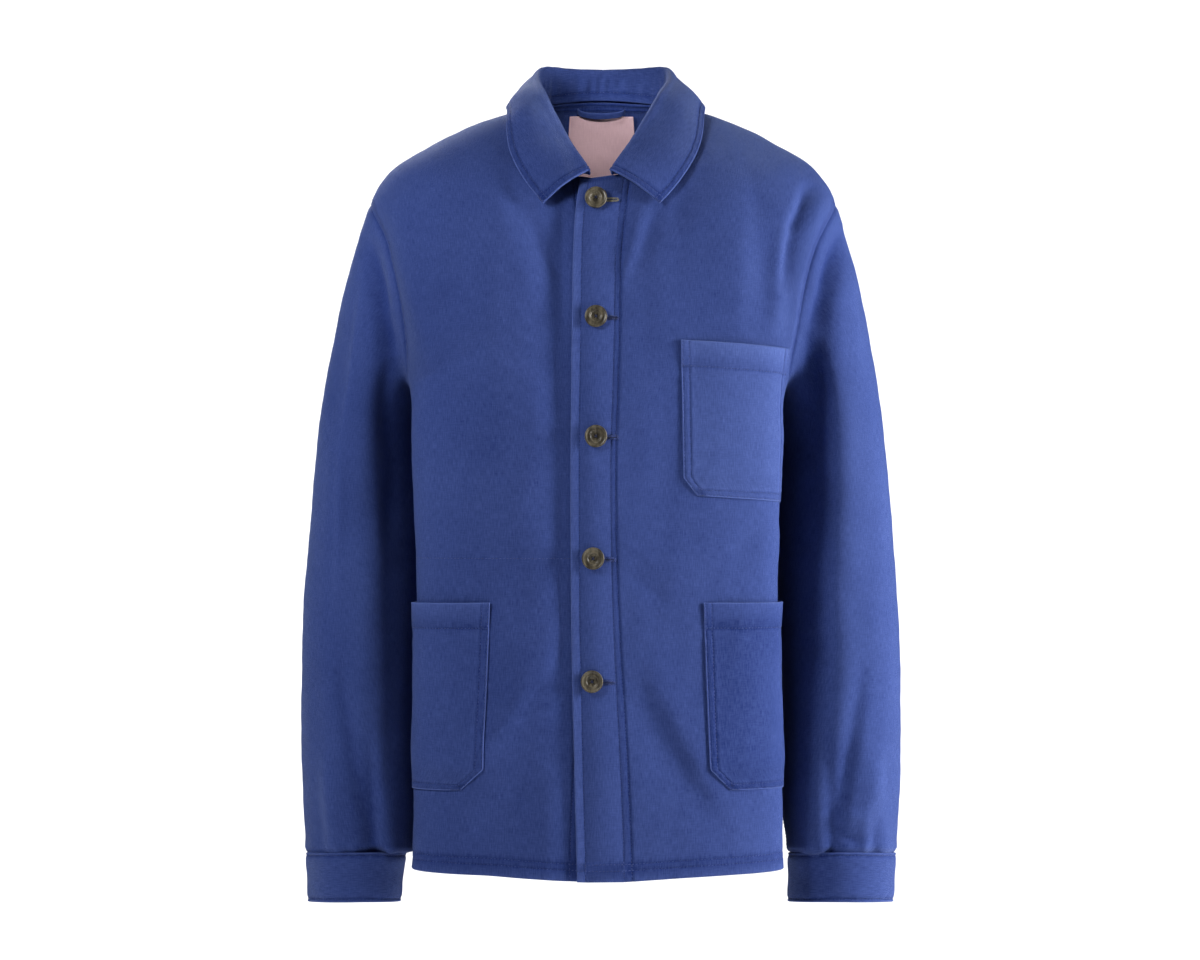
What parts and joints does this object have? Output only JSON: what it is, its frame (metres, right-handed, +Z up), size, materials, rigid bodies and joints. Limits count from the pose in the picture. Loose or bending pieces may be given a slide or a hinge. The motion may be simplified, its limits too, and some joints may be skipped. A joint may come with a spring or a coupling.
{
  "type": "chore jacket",
  "caption": "Chore jacket as worn and empty inside: button front, turned-down collar, patch pockets and buttonless cuffs.",
  "frame": {"origin": "point between the shoulders, level with the back neck seam, where the wearer holds the jacket up", "axes": "+Z up from hem to collar, the front faces -Y, +X is the wearer's left"},
  "size_m": [0.5488, 0.2696, 0.7784],
  "materials": {
    "cloth": "matt brushed cotton twill",
    "label": "matt plain woven",
    "button": "satin, horn-like"
  },
  "bodies": {
    "root": {"back": "cloth", "button_1": "button", "button_2": "button", "button_3": "button", "button_4": "button", "button_5": "button", "collar": "cloth", "cuff_left": "cloth", "cuff_right": "cloth", "front_left": "cloth", "front_right": "cloth", "hanger_loop": "cloth", "neck_label": "label", "pocket_chest": "cloth", "pocket_left": "cloth", "pocket_right": "cloth", "sleeve_left": "cloth", "sleeve_right": "cloth"}
  },
  "joints": []
}
